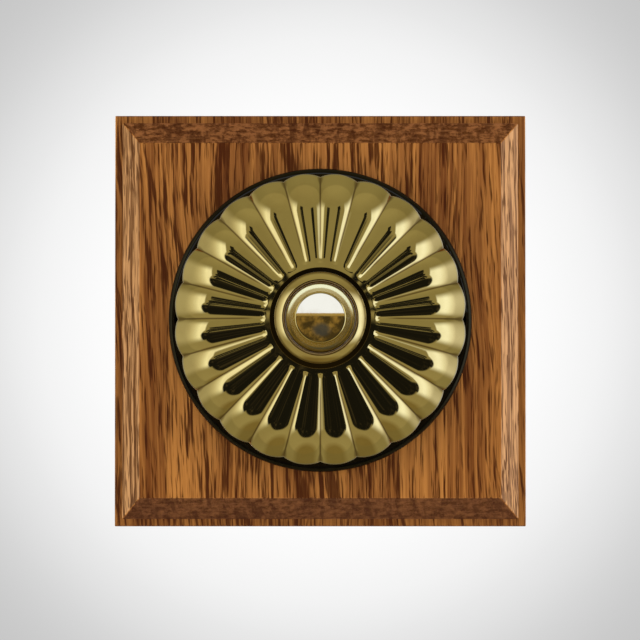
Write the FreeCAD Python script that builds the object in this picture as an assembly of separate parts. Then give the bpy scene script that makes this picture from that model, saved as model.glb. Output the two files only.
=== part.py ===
import FreeCAD, Part
import math
import os

from FreeCAD import Vector

# Push button light switch on a square oak block, for a wall.
# Every piece is drawn as it lies on a bench, face up: x to the right, y up the wall and z out of the wall,
# with z = 0 on the wall. The finished pieces are then turned to stand on the wall, facing -Y with +Z up.
# All lengths are in millimetres and all angles in degrees.

# Oak block
block_side = 95.0
block_thickness = 18.0
bevel_width = 4.2
bevel_drop = 4.0
ledge_width = 1.7
well_clearance = 0.7

# Wall fixing, to a standard single box
fixing_spacing = 60.3
fixing_hole_radius = 2.0
fixing_head_radius = 3.4

# Black base moulding: a disc with a round tower through its middle
base_margin = 1.2
base_thickness = 3.5
base_edge_round = 1.3
tower_wall = 1.4
tower_top_wall = 2.5
cavity_width = 20.0

# Fluted brass dome: a flat land round the bush, a gently sloping top, a round shoulder and an upright rim
flute_count = 24
dome_crest_radius = 33.7
dome_rim_height = 4.5
dome_wall = 0.9
neck_turn = 1.5
slope_tilt = 14.0
shoulder_turn = 12.6
rim_tilt = 65.0
rim_turn = 2.0
land_margin = 0.95
neck_width = 0.93
flute_run_in = 1.05
flute_depth = 0.355
rim_flute_depth = 1.17

# Threaded bush through the dome, with its nut inside and the bezel ring outside
button_radius = 7.75
bush_wall = 0.85
bush_thread_rise = 0.5
bush_flange_thickness = 1.7
bush_tail_stub = 0.2
nut_corner_clip = 1.3
nut_thickness = 2.0
bezel_wall = 1.2
bezel_height = 4.5
bezel_face_turn = 2.45
bezel_lip_width = 0.6
bezel_lip_height = 1.1
bezel_lip_chamfer = 0.2
bezel_groove_drop = 0.9

# Button: a turned brass cap that sits on the plunger
button_boss_radius = 5.85
button_proud = 0.6
button_edge_round = 0.3
button_ring_rise = 0.18
button_ring_turn = 10.0
button_boss_height = 0.45
button_boss_round = 0.5
button_crown_turn = 28.0
button_travel = 4.0
over_travel = 0.8
press_clearance = 2.55

# Plunger with its heart shaped latch track
plunger_width = 12.0
plunger_length = 14.5
plunger_peg_radius = 4.8
plunger_peg_height = 6.0
spring_pocket_radius = 4.6
spring_pocket_depth = 4.0
track_depth = 1.8
track_start_height = 6.0

# Latch wire that swings in the track
latch_wire_radius = 0.4
latch_length = 10.0
latch_swing = 1.8
heart_notch_depth = 0.45
latch_tip_reach = 1.75
latch_pivot_reach = 2.6
latch_bend_radius = 0.9

# Return spring
spring_wire_radius = 0.35
spring_coil_radius = 3.6
spring_turns = 5
spring_runs_per_turn = 12
spring_peg_radius = 2.6
spring_peg_height = 2.0

# Contacts, bent from strip, and the terminals outside the tower
strip_thickness = 0.8
strip_width = 4.0
contact_pair_offset = 3.2
contact_rivet_radius = 1.0
contact_rivet_height = 0.8
blade_thickness = 0.5
blade_height = 7.0
blade_wiper_drop = 2.0
blade_slit = 2.0
common_terminal_angle = 180.0
earth_terminal_angle = 270.0
terminal_width = 5.6
terminal_depth = 6.0
wire_bore_radius = 1.7
terminal_screw_radius = 1.45
terminal_head_radius = 2.3
terminal_head_height = 1.4
terminal_screw_reach = 2.4
driver_slot_width = 0.7
driver_slot_depth = 0.6

# Earth tag, a ring under the bush with an arm down to its terminal
tag_ring_width = 3.4

# Cover over the back of the tower, and the small screws
cover_thickness = 2.0
cover_screw_radius = 1.2
cover_screw_head_radius = 2.3
cover_screw_length = 8.0
cover_screw_x = 6.0
cover_screw_inset = 2.2
base_screw_radius = 1.5
base_screw_head_radius = 2.9
base_screw_length = 13.0

# Fits
sliding_fit = 0.15
screw_fit = 0.05
running_gap = 0.05
wiper_gap = 0.05
seat_gap = 0.1

# Radii from the button outwards to the dome's flutes, each worked out from the one inside it
bush_bore_radius = button_radius + seat_gap
bush_tail_radius = bush_bore_radius + bush_wall
bush_thread_radius = bush_tail_radius + bush_thread_rise
bezel_lip_radius = bush_bore_radius + sliding_fit
bezel_groove_radius = bezel_lip_radius + bezel_lip_width
bezel_radius = bush_thread_radius + bezel_wall
land_radius = bezel_radius + land_margin
bush_flange_radius = land_radius - seat_gap
flute_start_radius = land_radius + neck_width

# Shape of the dome, worked out from its sizes
slope_sine = math.sin(math.radians(slope_tilt))
rim_sine = math.sin(math.radians(rim_tilt))
slope_cosine = math.cos(math.radians(slope_tilt))
rim_cosine = math.cos(math.radians(rim_tilt))
neck_radius = land_radius + neck_turn * slope_sine
neck_drop = neck_turn * (1 - slope_cosine)
edge_radius = dome_crest_radius - rim_turn * (1 - rim_sine)
edge_drop = rim_turn * rim_cosine
shoulder_radius = edge_radius - shoulder_turn * (rim_sine - slope_sine)
shoulder_drop = shoulder_turn * (slope_cosine - rim_cosine)
slope_drop = (shoulder_radius - neck_radius) * slope_sine / slope_cosine

# Radii and places across the wall, worked out from the sizes above
base_radius = dome_crest_radius + base_margin
half_cavity = cavity_width / 2
tower_radius = half_cavity * math.sqrt(2) + tower_wall
nut_corner_radius = (half_cavity - sliding_fit) * math.sqrt(2) - nut_corner_clip
tag_ring_radius = bush_tail_radius + tag_ring_width
plunger_half_depth = half_cavity - sliding_fit
terminal_near = tower_radius + strip_thickness + 2 * seat_gap
terminal_middle = terminal_near + terminal_depth / 2
terminal_far = terminal_near + terminal_depth
well_radius = math.hypot(terminal_far, contact_pair_offset + terminal_width / 2) + well_clearance
dome_inner_radius = dome_crest_radius - rim_flute_depth - dome_wall
base_screw_offset = (well_radius + dome_inner_radius) / 2
cover_screw_y = half_cavity + cover_screw_inset

# Levels out from the wall, worked out from the sizes above
face_level = block_thickness
ledge_level = block_thickness - bevel_drop
base_top = face_level + base_thickness
rim_top = base_top + dome_rim_height
edge_level = rim_top + edge_drop
shoulder_level = edge_level + shoulder_drop
neck_level = shoulder_level + slope_drop
dome_top = neck_level + neck_drop
flange_top = dome_top - dome_wall
tag_top = flange_top - bush_flange_thickness
tower_top = tag_top - strip_thickness
cavity_top = tower_top - tower_top_wall
nut_low = cavity_top - nut_thickness
bush_low = nut_low - bush_tail_stub
bezel_top = dome_top + bezel_height
bezel_lip_top = bezel_top - bezel_groove_drop
bezel_lip_low = bezel_lip_top - bezel_lip_height
bush_top = bezel_lip_low - seat_gap
plunger_top = bush_low - running_gap
plunger_low = plunger_top - plunger_length
tower_low = plunger_low - button_travel - press_clearance
cover_low = tower_low - cover_thickness
button_edge = bezel_lip_top + button_proud
button_ring = button_edge + button_edge_round
button_step = button_ring + button_ring_rise
button_rim = button_step + button_boss_height
spring_low = tower_low + running_gap
spring_high = plunger_low + spring_pocket_depth - running_gap
track_start = plunger_low + track_start_height
latch_pivot_level = track_start - latch_length
blade_level = plunger_low + blade_height
wiper_level = blade_level - blade_wiper_drop / 2
latched_travel = button_travel - over_travel
latched_wiper_level = wiper_level - latched_travel
terminal_low = tower_low + strip_thickness
terminal_high = face_level - seat_gap
wire_level = (terminal_low + terminal_high) / 2


def cylinder(radius, low, high, x=0.0, y=0.0):
    """A round bar along z between two levels."""
    return Part.makeCylinder(radius, high - low, Vector(x, y, low))


def cone(low_radius, high_radius, low, high, x=0.0, y=0.0):
    """A taper along z between two levels."""
    return Part.makeCone(low_radius, high_radius, high - low, Vector(x, y, low))


def block(x_range, y_range, z_range):
    """A rectangular bar between two limits on each axis."""
    low = Vector(x_range[0], y_range[0], z_range[0])
    return Part.makeBox(x_range[1] - x_range[0], y_range[1] - y_range[0], z_range[1] - z_range[0], low)


def outline(steps, place):
    """A closed wire. Each step is a point, or a pair of points for an arc through the first to the second.
    place turns a point's two numbers into a Vector."""
    edges = []
    start = place(*steps[0])
    here = start
    for step in steps[1:]:
        if isinstance(step[0], tuple):
            middle, there = place(*step[0]), place(*step[1])
            edges.append(Part.Arc(here, middle, there).toShape())
        else:
            there = place(*step)
            edges.append(Part.makeLine(here, there))
        here = there
    if not here.isEqual(start, 1e-7):
        edges.append(Part.makeLine(here, start))
    return Part.Wire(edges)


def turned(steps):
    """A solid of revolution about z, from a profile of (radius, level) steps."""
    profile = Part.Face(outline(steps, lambda r, z: Vector(r, 0, z)))
    return profile.revolve(Vector(0, 0, 0), Vector(0, 0, 1), 360)


def crown(edge_radius, foot, rise):
    """The step of a profile that runs up a low round crown from its edge to the axis."""
    radius = (edge_radius ** 2 + rise ** 2) / (2 * rise)
    half = math.asin(edge_radius / radius) / 2
    return (radius * math.sin(half), foot + rise - radius * (1 - math.cos(half))), (0.0, foot + rise)


def bent_strip(centres, thickness, width, bend_radius):
    """Sheet of one thickness bent along a path of (x, z) points, centred across y."""
    path = [Vector(x, 0, z) for x, z in centres]
    wire = rounded_path(path, bend_radius)
    first = (path[1] - path[0]).normalize()
    across = first.cross(Vector(0, 1, 0))
    corners = []
    for side, edge in ((-1, -1), (-1, 1), (1, 1), (1, -1)):
        corners.append(path[0] + across * (side * thickness / 2) + Vector(0, edge * width / 2, 0))
    section = Part.makePolygon(corners + corners[:1])
    return wire.makePipeShell([section], True, False, 1)


def rounded_path(points, bend_radius):
    """Straight runs joined by tangent arcs of one radius, as a wire."""
    edges = []
    here = points[0]
    for before, corner, after in zip(points, points[1:], points[2:]):
        into = (corner - before).normalize()
        out = (after - corner).normalize()
        half_turn = math.acos(max(-1.0, min(1.0, into.dot(out)))) / 2
        setback = bend_radius * math.tan(half_turn)
        start = corner - into * setback
        end = corner + out * setback
        inward = (out - into).normalize()
        middle = corner + inward * (bend_radius / math.cos(half_turn) - bend_radius)
        edges.append(Part.makeLine(here, start))
        edges.append(Part.Arc(start, middle, end).toShape())
        here = end
    edges.append(Part.makeLine(here, points[-1]))
    return Part.Wire(edges)


def turned_about_axis(shape, angle):
    """A copy of a shape turned about the switch's own axis."""
    copy = shape.copy()
    copy.rotate(Vector(0, 0, 0), Vector(0, 0, 1), angle)
    return copy


def moved(shape, x=0.0, y=0.0, z=0.0):
    """A shifted copy of a shape."""
    copy = shape.copy()
    copy.translate(Vector(x, y, z))
    return copy


# Places that more than one piece shares
fixing_places = [(-fixing_spacing / 2, 0.0), (fixing_spacing / 2, 0.0)]
base_screw_places = [(0.0, -base_screw_offset), (0.0, base_screw_offset)]
cover_screw_places = [(-cover_screw_x, cover_screw_y), (cover_screw_x, -cover_screw_y)]
# Each terminal is drawn on the +x side, off the middle by its shift, and then turned about the axis.
terminal_places = {
    "common": (common_terminal_angle, 0.0),
    "l1": (0.0, -contact_pair_offset),
    "l2": (0.0, contact_pair_offset),
    "earth": (earth_terminal_angle, 0.0),
}


def countersunk(hole_radius, head_radius, low, high, x, y):
    """The room for a flush screw: a plain hole that opens at 45 degrees to the head's radius at the high level."""
    hole = cylinder(hole_radius, low, high, x, y)
    return hole.fuse(cone(hole_radius, head_radius, high - (head_radius - hole_radius), high, x, y))


def screw_slot(head_radius, level, depth):
    """A driver's slot across a head, cut inward from a level. A negative depth cuts downward."""
    low, high = sorted((level, level + depth))
    return block((-head_radius, head_radius), (-driver_slot_width / 2, driver_slot_width / 2), (low, high))


# Oak block: a raised flat face, a bevel down to a narrow ledge, and plain sides
def pattress():
    half = block_side / 2
    bevel_foot = half - ledge_width
    bevel_head = bevel_foot - bevel_width
    lower = block((-half, half), (-half, half), (0, ledge_level))

    def square(reach, level):
        return Part.makePolygon([
            Vector(-reach, -reach, level), Vector(reach, -reach, level),
            Vector(reach, reach, level), Vector(-reach, reach, level), Vector(-reach, -reach, level)])

    raised = Part.makeLoft([square(bevel_foot, ledge_level), square(bevel_head, face_level)], True, True)
    body = lower.fuse(raised).removeSplitter()
    body = body.cut(cylinder(well_radius, 0, face_level))
    for x, y in fixing_places:
        body = body.cut(cylinder(fixing_hole_radius, 0, face_level, x, y))
    screw_depth = base_screw_length - base_thickness + seat_gap
    for x, y in base_screw_places:
        body = body.cut(cylinder(base_screw_radius + screw_fit, face_level - screw_depth, face_level, x, y))
    return body


# Base moulding: the black disc that shows round the dome, and the tower that holds the works
def base_plate():
    disc = cylinder(base_radius, face_level, base_top)
    round_edges = [e for e in disc.Edges if e.Length > base_radius and abs(e.CenterOfMass.z - base_top) < 1e-6]
    disc = disc.makeFillet(base_edge_round, round_edges)
    body = disc.fuse(cylinder(tower_radius, tower_low, tower_top)).removeSplitter()
    cavity = block((-half_cavity, half_cavity), (-half_cavity, half_cavity), (tower_low, cavity_top))
    body = body.cut(cavity)
    body = body.cut(cylinder(bush_tail_radius + screw_fit, cavity_top, tower_top))
    for x, y in fixing_places:
        body = body.cut(countersunk(fixing_hole_radius, fixing_head_radius, face_level, base_top, x, y))
    for x, y in base_screw_places:
        hole_radius = base_screw_radius + screw_fit
        head_radius = base_screw_head_radius + screw_fit
        body = body.cut(countersunk(hole_radius, head_radius, face_level, base_top, x, y))
    for x, y in cover_screw_places:
        pilot_top = cover_low + cover_screw_length + seat_gap
        body = body.cut(cylinder(cover_screw_radius + screw_fit, tower_low, pilot_top, x, y))
    half_strip = strip_width / 2 + seat_gap
    for name, (angle, shift) in terminal_places.items():
        if name == "earth":
            outside = tower_radius + strip_thickness + 2 * seat_gap
            passage = block((tower_radius - strip_thickness, outside), (-half_strip, half_strip),
                            (face_level, base_top))
            passage = passage.cut(cylinder(tower_radius, face_level, base_top))
        else:
            passage = block((half_cavity, tower_radius), (shift - half_strip, shift + half_strip),
                            (tower_low, tower_low + 2 * strip_thickness))
        body = body.cut(turned_about_axis(passage, angle))
    return body.cut(latch_room())


def latch_room():
    """The groove in the tower's upper wall where the latch wire swings, and the hole for its pivot end."""
    half_narrow = latch_wire_radius + sliding_fit
    half_wide = latch_swing + latch_wire_radius + 2 * sliding_fit
    low = latch_pivot_level - latch_wire_radius - sliding_fit
    high = track_start + latch_wire_radius + sliding_fit
    fan = outline([(-half_narrow, low), (half_narrow, low), (half_wide, high), (-half_wide, high)],
                  lambda x, z: Vector(x, half_cavity, z))
    groove_depth = sliding_fit + latch_wire_radius + latch_bend_radius + running_gap
    groove = Part.Face(fan).extrude(Vector(0, groove_depth, 0))
    pivot_length = latch_pivot_reach + sliding_fit
    pivot = Part.makeCylinder(latch_wire_radius + running_gap, pivot_length,
                              Vector(0, half_cavity, latch_pivot_level), Vector(0, 1, 0))
    return groove.fuse(pivot)


# Fluted dome. A flute is ruled between arcs, each from the valley on its left over the crest to the valley on its
# right, at stations from the land, where it has no depth yet, over the shoulder and down to the rim.
def dome_stations():
    """(crest radius, crest level, tilt of the surface there, flute depth there) from the land to the rim."""
    slope, steep = math.radians(slope_tilt), math.radians(rim_tilt)
    places = []
    for tilt in (0.0, slope / 2, slope):
        places.append((land_radius + neck_turn * math.sin(tilt), dome_top - neck_turn * (1 - math.cos(tilt)), tilt))
    run_middle = flute_start_radius + flute_run_in / 2
    run_end = flute_start_radius + flute_run_in
    for radius in (flute_start_radius, run_middle, run_end, (run_end + shoulder_radius) / 2):
        places.append((radius, neck_level - (radius - neck_radius) * slope_sine / slope_cosine, slope))
    steps = 8
    for step in range(steps + 1):
        tilt = slope + step / steps * (steep - slope)
        places.append((shoulder_radius + shoulder_turn * (math.sin(tilt) - slope_sine),
                       shoulder_level - shoulder_turn * (slope_cosine - math.cos(tilt)), tilt))
    for tilt in ((steep + math.pi / 2) / 2, math.pi / 2):
        places.append((dome_crest_radius - rim_turn * (1 - math.sin(tilt)), rim_top + rim_turn * math.cos(tilt), tilt))
    places.append((dome_crest_radius, base_top, math.pi / 2))
    return [(radius, level, tilt, depth_at(radius)) for radius, level, tilt in places]


def depth_at(radius):
    """Depth of a valley below its crests: the flutes start short and steep, then grow out to the rim."""
    run = min(1.0, max(0.0, (radius - flute_start_radius) / flute_run_in))
    growth = (radius - flute_start_radius) / (dome_crest_radius - flute_start_radius)
    return (1 - (1 - run) ** 2) * (flute_depth + growth * (rim_flute_depth - flute_depth))


def flute_arc(station):
    """The arc of one flute at a station, drawn across the x axis."""
    radius, level, tilt, depth = station
    half_step = math.pi / flute_count
    valley_radius, valley_level = radius - depth * math.sin(tilt), level - depth * math.cos(tilt)
    left = Vector(valley_radius * math.cos(half_step), -valley_radius * math.sin(half_step), valley_level)
    right = Vector(left.x, -left.y, left.z)
    return Part.Wire(Part.Arc(left, Vector(radius, 0, level), right).toShape())


def dome_cover():
    stations = dome_stations()
    arcs = [flute_arc(station) for station in stations]
    flute = Part.makeLoft(arcs, False, True)
    # Half a step on from the x axis, so that valleys fall on the upright and level lines
    angles = [(index + 0.5) * 360.0 / flute_count for index in range(flute_count)]
    faces = []
    for angle in angles:
        faces += turned_about_axis(flute, angle).Faces
    for end in (arcs[0], arcs[-1]):
        edges = [turned_about_axis(end, angle).Edges[0] for angle in angles]
        faces.append(Part.Face(Part.Wire(Part.__sortEdges__(edges))))
    shell = Part.makeShell(faces)
    shell.sewShape()
    body = Part.makeSolid(shell)
    # The inside is plain and follows the valleys, one wall away from them.
    inside = [(0.0, base_top), (dome_inner_radius, base_top)]
    shoulder = [station for station in stations if neck_radius < station[0] <= edge_radius]
    for radius, level, tilt, depth in reversed(shoulder[::2]):
        drop = depth + dome_wall
        inside.append((radius - drop * math.sin(tilt), level - drop * math.cos(tilt)))
    inside += [(bush_flange_radius + seat_gap, flange_top), (0.0, flange_top)]
    body = body.cut(turned(inside))
    return body.cut(cylinder(bush_thread_radius + sliding_fit, flange_top, dome_top))


# Threaded bush, turned from brass bar: the dome rests on its flange and the button slides in its bore
def bush():
    return turned([
        (bush_bore_radius, bush_low), (bush_tail_radius, bush_low), (bush_tail_radius, tag_top),
        (bush_flange_radius, tag_top), (bush_flange_radius, flange_top), (bush_thread_radius, flange_top),
        (bush_thread_radius, bush_top), (bush_bore_radius, bush_top)])


# Square back nut that holds the bush and the earth tag to the tower. It can't turn in the cavity.
def lock_nut():
    half = half_cavity - sliding_fit
    square = block((-half, half), (-half, half), (nut_low, cavity_top))
    clipped = square.common(cylinder(nut_corner_radius, nut_low, cavity_top))
    return clipped.cut(cylinder(bush_tail_radius + screw_fit, nut_low, cavity_top))


# Bezel ring, a turned brass collar that screws down on the dome: a quarter round outside, then a groove and a thin lip
def bezel():
    thread_radius = bush_thread_radius + screw_fit
    face_middle = bezel_radius - bezel_face_turn
    face_tilt = math.asin((bezel_groove_radius - face_middle) / bezel_face_turn)
    face_low = bezel_top - bezel_face_turn * math.cos(face_tilt)
    half_way = (math.pi / 2 + face_tilt) / 2
    face_point = (face_middle + bezel_face_turn * math.sin(half_way), face_low + bezel_face_turn * math.cos(half_way))
    return turned([
        (thread_radius, dome_top), (bezel_radius, dome_top), (bezel_radius, face_low),
        (face_point, (bezel_groove_radius, bezel_top)),
        (bezel_groove_radius, bezel_lip_top - bezel_lip_chamfer),
        (bezel_groove_radius - bezel_lip_chamfer, bezel_lip_top),
        (bezel_lip_radius + bezel_lip_chamfer, bezel_lip_top),
        (bezel_lip_radius, bezel_lip_top - bezel_lip_chamfer),
        (bezel_lip_radius, bezel_lip_low), (thread_radius, bezel_lip_low)])


# Button cap: a skirt that slides in the bush, a ring with a round edge, a small step and a low polished crown
def button_cap():
    peg_room = plunger_peg_radius + screw_fit
    peg_room_top = plunger_top + plunger_peg_height + seat_gap
    ring_edge = button_radius - button_edge_round
    ring_bow = (ring_edge - button_boss_radius) ** 2 / (8 * button_ring_turn)
    ring_middle = ((ring_edge + button_boss_radius) / 2, (button_ring + button_step) / 2 + ring_bow)
    crown_edge = (button_boss_radius - button_boss_round) / (1 - button_boss_round / button_crown_turn)
    crown_tilt = math.asin(crown_edge / button_crown_turn)
    crown_foot = button_rim + button_boss_round * math.cos(crown_tilt)
    crown_rise = button_crown_turn * (1 - math.cos(crown_tilt))
    diagonal = math.sqrt(0.5)
    edge_middle = (ring_edge + button_edge_round * diagonal, button_edge + button_edge_round * diagonal)
    half_way = (math.pi / 2 + crown_tilt) / 2
    rim_middle = (button_boss_radius - button_boss_round * (1 - math.sin(half_way)),
                  button_rim + button_boss_round * math.cos(half_way))
    return turned([
        (0.0, peg_room_top), (peg_room, peg_room_top), (peg_room, plunger_top), (button_radius, plunger_top),
        (button_radius, button_edge), (edge_middle, (ring_edge, button_ring)),
        (ring_middle, (button_boss_radius, button_step)), (button_boss_radius, button_rim),
        (rim_middle, (crown_edge, crown_foot)), crown(crown_edge, crown_foot, crown_rise)])


# Plunger, moulded in nylon: a peg for the cap, a slot for the moving contact, a pocket for the spring
# and, on its upper face, the heart shaped track that holds it in on one push and lets it out on the next
def plunger():
    half_width = plunger_width / 2
    body = block((-half_width, half_width), (-plunger_half_depth, plunger_half_depth), (plunger_low, plunger_top))
    body = body.fuse(cylinder(plunger_peg_radius, plunger_top, plunger_top + plunger_peg_height))
    body = body.cut(cylinder(spring_pocket_radius, plunger_low, plunger_low + spring_pocket_depth))
    half_slot = blade_width() / 2 + seat_gap
    slot = block((-half_width, half_width), (-half_slot, half_slot),
                 (blade_level - blade_thickness / 2, blade_level + blade_thickness / 2 + seat_gap))
    return body.cut(slot).cut(latch_track())


def blade_width():
    """Across both contacts of the pair."""
    return 2 * contact_pair_offset + strip_width


def latch_track():
    """The pocket that the latch wire's tip runs in, with the heart standing in its middle."""
    room = latch_wire_radius + 2 * sliding_fit
    reach = latch_swing + room
    top = track_start + button_travel
    pocket = outline([
        (-room, track_start - room), (room, track_start - room), (reach, top - room), (reach, top + room),
        (-reach, top + room), (-reach, top - room)], track_place)
    # The heart's sides run beside the slanting path of the tip, and its notch catches the tip between them.
    slant = latch_swing / button_travel
    side = room * math.sqrt(1 + slant ** 2)
    notch = track_start + latched_travel - latch_wire_radius
    lobe = notch + heart_notch_depth
    lobe_reach = slant * (lobe - track_start) - side
    foot = track_start + side / slant
    heart = outline([(0.0, foot), (lobe_reach, lobe), (0.0, notch), (-lobe_reach, lobe)], track_place)
    cut = Part.Face(pocket).extrude(Vector(0, -track_depth, 0))
    return cut.cut(Part.Face(heart).extrude(Vector(0, -track_depth, 0)))


def track_place(x, z):
    """A point of the track, on the plunger's upper face."""
    return Vector(x, plunger_half_depth, z)


# Latch wire: a pivot end in the tower's wall, a straight leg and a tip in the track
def latch_wire():
    leg = half_cavity + sliding_fit + latch_wire_radius
    points = [Vector(0, half_cavity + latch_pivot_reach, latch_pivot_level), Vector(0, leg, latch_pivot_level),
              Vector(0, leg, track_start), Vector(0, leg - latch_tip_reach - latch_wire_radius, track_start)]
    path = rounded_path(points, latch_bend_radius)
    section = Part.Wire(Part.makeCircle(latch_wire_radius, points[0], Vector(0, -1, 0)))
    return path.makePipeShell([section], True, False)


# Return spring: an open coil between the cover and the plunger's pocket, ruled in short runs between six-sided
# sections of its wire
def return_spring():
    low = spring_low + spring_wire_radius
    high = spring_high - spring_wire_radius
    rise = (high - low) / (2 * math.pi * spring_turns)
    sections = []
    for run in range(spring_turns * spring_runs_per_turn + 1):
        angle = 2 * math.pi * run / spring_runs_per_turn
        outward = Vector(math.cos(angle), math.sin(angle), 0)
        along = Vector(-spring_coil_radius * math.sin(angle), spring_coil_radius * math.cos(angle), rise).normalize()
        across = outward.cross(along)
        centre = outward * spring_coil_radius + Vector(0, 0, low + rise * angle)
        corners = []
        for side in range(7):
            turn = side * math.pi / 3
            corners.append(centre + (outward * math.cos(turn) + across * math.sin(turn)) * spring_wire_radius)
        sections.append(Part.makePolygon(corners))
    return Part.makeLoft(sections, True, True)


# Moving contact: a bronze strip through the plunger, with its ends turned down as wipers
def moving_contact():
    wiper = half_cavity - strip_thickness - contact_rivet_height - wiper_gap - blade_thickness / 2
    low = blade_level - blade_wiper_drop
    path = [(-wiper, low), (-wiper, blade_level), (wiper, blade_level), (wiper, low)]
    blade = bent_strip(path, blade_thickness, blade_width(), blade_thickness)
    slit_start = plunger_width / 2 + blade_slit / 4
    slit = block((slit_start, half_cavity), (-blade_slit / 2, blade_slit / 2),
                 (low - blade_thickness, blade_level + blade_thickness))
    return blade.cut(slit)


# Fixed contacts: each strip stands on the wall of the tower, carries a contact rivet, and turns out at its foot
# through a notch in the tower's rim to a terminal
def fixed_contact(name, rivet_levels):
    angle, shift = terminal_places[name]
    leg = half_cavity - strip_thickness / 2
    foot = tower_low + strip_thickness / 2
    top = max(rivet_levels) + contact_rivet_radius
    strip = bent_strip([(leg, top), (leg, foot), (terminal_far, foot)], strip_thickness, strip_width, strip_thickness)
    strip = strip.cut(cylinder(terminal_screw_radius + seat_gap, tower_low, terminal_low, terminal_middle))
    for level in rivet_levels:
        strip = strip.fuse(contact_rivet(level))
    return turned_about_axis(moved(strip.removeSplitter(), y=shift), angle)


def contact_rivet(level):
    """A low domed rivet head on the strip's inner face."""
    face = half_cavity - strip_thickness
    edge = contact_rivet_height / 2
    head = turned([
        (0.0, 0.0), (contact_rivet_radius, 0.0), (contact_rivet_radius, edge),
        crown(contact_rivet_radius, edge, contact_rivet_height - edge)])
    head.rotate(Vector(0, 0, 0), Vector(0, 1, 0), -90)
    return moved(head, x=face, z=level)


# Terminals: square brass blocks with a bore for the cable core and a pinching screw from the back
def terminal(name):
    angle, shift = terminal_places[name]
    half = terminal_width / 2
    body = block((terminal_near, terminal_far), (-half, half), (terminal_low, terminal_high))
    body = body.cut(Part.makeCylinder(wire_bore_radius, terminal_width,
                                      Vector(terminal_middle, -half, wire_level), Vector(0, 1, 0)))
    body = body.cut(cylinder(terminal_screw_radius + screw_fit, terminal_low, wire_level, terminal_middle))
    return turned_about_axis(moved(body, y=shift), angle)


def terminal_screws():
    screws = []
    for angle, shift in terminal_places.values():
        head_low = tower_low - terminal_head_height
        shank_top = tower_low + terminal_screw_reach
        screw = cylinder(terminal_head_radius, head_low, tower_low)
        screw = screw.cut(screw_slot(terminal_head_radius, head_low, driver_slot_depth))
        screw = screw.fuse(cylinder(terminal_screw_radius, tower_low, shank_top)).removeSplitter()
        screws.append(turned_about_axis(moved(screw, x=terminal_middle, y=shift), angle))
    return Part.makeCompound(screws)


# Earth tag: a ring between the tower and the bush's flange, with an arm that turns down beside the tower,
# passes through the disc and turns out to its terminal
def earth_tag():
    ring = cylinder(tag_ring_radius, tower_top, tag_top).cut(
        cylinder(bush_tail_radius + screw_fit, tower_top, tag_top))
    arm = tower_radius + seat_gap + strip_thickness / 2
    foot = tower_low + strip_thickness / 2
    middle = tower_top + strip_thickness / 2
    start = (bush_tail_radius + tag_ring_radius) / 2
    path = [(start, middle), (arm, middle), (arm, foot), (terminal_far, foot)]
    strip = bent_strip(path, strip_thickness, strip_width, strip_thickness / 2 + seat_gap)
    strip = strip.cut(cylinder(terminal_screw_radius + seat_gap, tower_low, terminal_low, terminal_middle))
    strip = strip.cut(cylinder(bush_tail_radius + screw_fit, tower_top, tag_top))
    angle, shift = terminal_places["earth"]
    return ring.fuse(turned_about_axis(strip, angle)).removeSplitter()


# Cover over the back of the tower, with a peg inside the spring
def back_cover():
    plate = cylinder(tower_radius, cover_low, tower_low)
    plate = plate.fuse(cylinder(spring_peg_radius, tower_low, tower_low + spring_peg_height)).removeSplitter()
    head_radius = cover_screw_head_radius + screw_fit
    hole_radius = cover_screw_radius + screw_fit
    for x, y in cover_screw_places:
        plate = plate.cut(cylinder(hole_radius, cover_low, tower_low, x, y))
        plate = plate.cut(cone(head_radius, hole_radius, cover_low, cover_low + head_radius - hole_radius, x, y))
    return plate


def cover_screws():
    head_rise = cover_screw_head_radius - cover_screw_radius
    screw = turned([
        (0.0, 0.0), (cover_screw_head_radius, 0.0), (cover_screw_radius, head_rise),
        (cover_screw_radius, cover_screw_length - cover_screw_radius), (0.0, cover_screw_length)])
    screw = screw.cut(screw_slot(cover_screw_head_radius, 0.0, driver_slot_depth))
    return Part.makeCompound([moved(screw, x, y, cover_low) for x, y in cover_screw_places])


# Wood screws that hold the base to the oak, flush with the disc under the dome's edge
def base_screws():
    head_rise = base_screw_head_radius - base_screw_radius
    tip = 2 * base_screw_radius
    screw = turned([
        (0.0, 0.0), (base_screw_head_radius, 0.0), (base_screw_radius, -head_rise),
        (base_screw_radius, tip - base_screw_length), (0.0, -base_screw_length)])
    screw = screw.cut(screw_slot(base_screw_head_radius, 0.0, -driver_slot_depth))
    return Part.makeCompound([moved(screw, x, y, base_top) for x, y in base_screw_places])


def stand_on_wall(shape):
    """Turns a piece from the bench to the wall: out of the wall becomes -Y and up the wall becomes +Z."""
    shape.rotate(Vector(0, 0, 0), Vector(1, 0, 0), 90)
    return shape


pieces = {
    "pattress": pattress(),
    "base_plate": base_plate(),
    "base_screws": base_screws(),
    "dome_cover": dome_cover(),
    "bush": bush(),
    "lock_nut": lock_nut(),
    "earth_tag": earth_tag(),
    "bezel": bezel(),
    "button_cap": button_cap(),
    "plunger": plunger(),
    "latch_wire": latch_wire(),
    "return_spring": return_spring(),
    "moving_contact": moving_contact(),
    "contact_common": fixed_contact("common", [wiper_level, latched_wiper_level]),
    "contact_l1": fixed_contact("l1", [latched_wiper_level]),
    "contact_l2": fixed_contact("l2", [wiper_level]),
    "terminal_common": terminal("common"),
    "terminal_l1": terminal("l1"),
    "terminal_l2": terminal("l2"),
    "terminal_earth": terminal("earth"),
    "terminal_screws": terminal_screws(),
    "back_cover": back_cover(),
    "cover_screws": cover_screws(),
}

os.makedirs("parts", exist_ok=True)
for name, shape in pieces.items():
    stand_on_wall(shape).exportStep(f"parts/{name}.step")
    print(f"{name}: {len(shape.Solids)} solid(s), {shape.Volume:.1f} mm3, valid {shape.isValid()}")
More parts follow.
